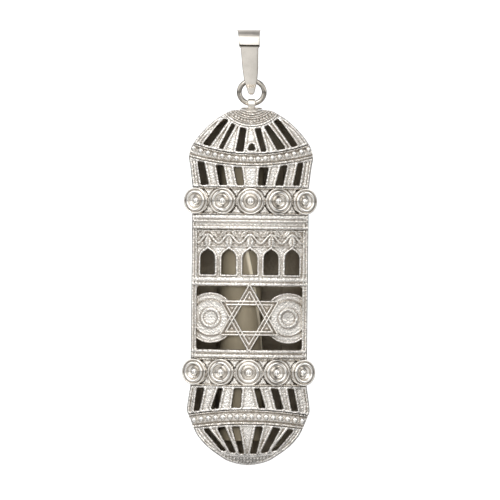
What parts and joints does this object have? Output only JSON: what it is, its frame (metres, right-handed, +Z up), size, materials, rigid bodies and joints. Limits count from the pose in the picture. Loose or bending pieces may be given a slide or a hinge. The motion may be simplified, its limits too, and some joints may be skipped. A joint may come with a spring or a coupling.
{
  "type": "mezuzah case pendant",
  "caption": "Openwork mezuzah pendant: an arched, pierced case with domed ends, rosette bands and a star, a sliding back plate, a rolled scroll, a jump ring and a strap bail.",
  "frame": {"origin": "inside of the bail's top, where a chain bears", "axes": "+Z up along the hanging pendant, front towards -Y, +X to the right seen from the front"},
  "size_m": [0.016, 0.0086, 0.0522],
  "materials": {
    "cast_silver": "cast sterling silver with a fine matte grain, oxidised in the recesses",
    "polished_silver": "polished sterling silver",
    "parchment": "rolled parchment, aged"
  },
  "bodies": {
    "bail": {"bail": "polished_silver"},
    "ring": {"jump_ring": "polished_silver"},
    "case": {"back_frame": "cast_silver", "case_eye": "polished_silver", "eye_collar": "polished_silver", "left_disc": "cast_silver", "left_guide": "polished_silver", "lower_ball_1": "polished_silver", "lower_ball_2": "polished_silver", "lower_ball_3": "polished_silver", "lower_ball_4": "polished_silver", "lower_ball_5": "polished_silver", "lower_bead_band": "cast_silver", "lower_bead_wire": "polished_silver", "lower_dome_ribs": "cast_silver", "lower_end_cap": "cast_silver", "lower_rosette_1": "polished_silver", "lower_rosette_2": "polished_silver", "lower_rosette_3": "polished_silver", "lower_rosette_4": "polished_silver", "lower_rosette_5": "polished_silver", "lower_rosette_band": "cast_silver", "lower_skirt_ribs": "cast_silver", "ornament_panel": "cast_silver", "right_disc": "cast_silver", "right_guide": "polished_silver", "side_wall": "cast_silver", "star_of_david": "polished_silver", "top_stop": "polished_silver", "upper_ball_1": "polished_silver", "upper_ball_2": "polished_silver", "upper_ball_3": "polished_silver", "upper_ball_4": "polished_silver", "upper_ball_5": "polished_silver", "upper_bead_band": "cast_silver", "upper_bead_wire": "polished_silver", "upper_dome_cap": "cast_silver", "upper_dome_ribs": "cast_silver", "upper_rosette_1": "polished_silver", "upper_rosette_2": "polished_silver", "upper_rosette_3": "polished_silver", "upper_rosette_4": "polished_silver", "upper_rosette_5": "polished_silver", "upper_rosette_band": "cast_silver", "upper_skirt_ribs": "cast_silver", "window_frame": "cast_silver"},
    "back": {"back_plate": "polished_silver", "plate_grip": "polished_silver"},
    "scroll": {"parchment_scroll": "parchment"}
  },
  "joints": [
    {"name": "ring_swing", "type": "hinge", "parent": "bail", "child": "ring", "pos_m": [0, 0, -0.00572], "axis": [1, 0, 0], "range_deg": [-60, 60]},
    {"name": "case_swing", "type": "hinge", "parent": "ring", "child": "case", "pos_m": [0, 0, -0.00848], "axis": [1, 0, 0], "range_deg": [-60, 60]},
    {"name": "back_slide", "type": "slide", "parent": "case", "child": "back", "axis": [0, 0, -1], "range_m": [0, 0.03]},
    {"name": "scroll_turn", "type": "hinge", "parent": "case", "child": "scroll", "pos_m": [-0.00095, -0.00012, -0.032], "axis": [0, 0, 1], "continuous": true}
  ]
}
